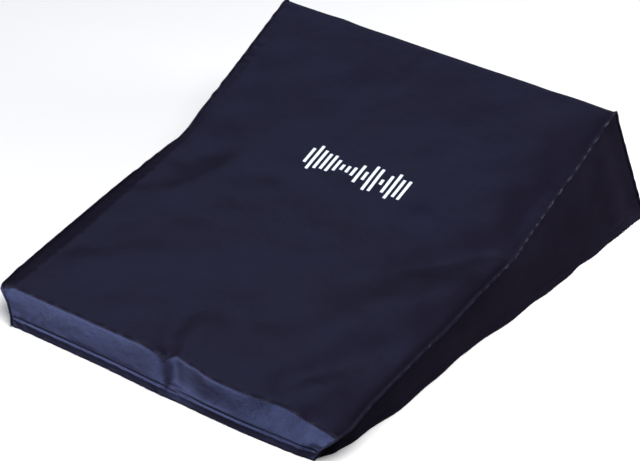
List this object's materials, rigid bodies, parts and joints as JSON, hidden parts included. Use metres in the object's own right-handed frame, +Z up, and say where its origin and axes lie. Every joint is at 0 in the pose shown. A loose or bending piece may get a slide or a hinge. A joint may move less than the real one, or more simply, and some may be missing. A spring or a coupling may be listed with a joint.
{
  "type": "audio mixer cover",
  "caption": "Fitted dust cover of coated cloth for an audio mixer, with a low front, a raised back, sewn side panels and a turned hem, open underneath.",
  "frame": {"origin": "under the middle of the cover, at the level of its hem", "axes": "+X to the right, -Y towards the low front, +Y towards the raised back, +Z up"},
  "size_m": [0.522, 0.6369, 0.1753],
  "materials": {
    "cloth": "near-black navy woven polyester with a semi-gloss coating"
  },
  "bodies": {
    "root": {"main_panel": "cloth", "side_panel_left": "cloth", "side_panel_right": "cloth"}
  },
  "joints": []
}
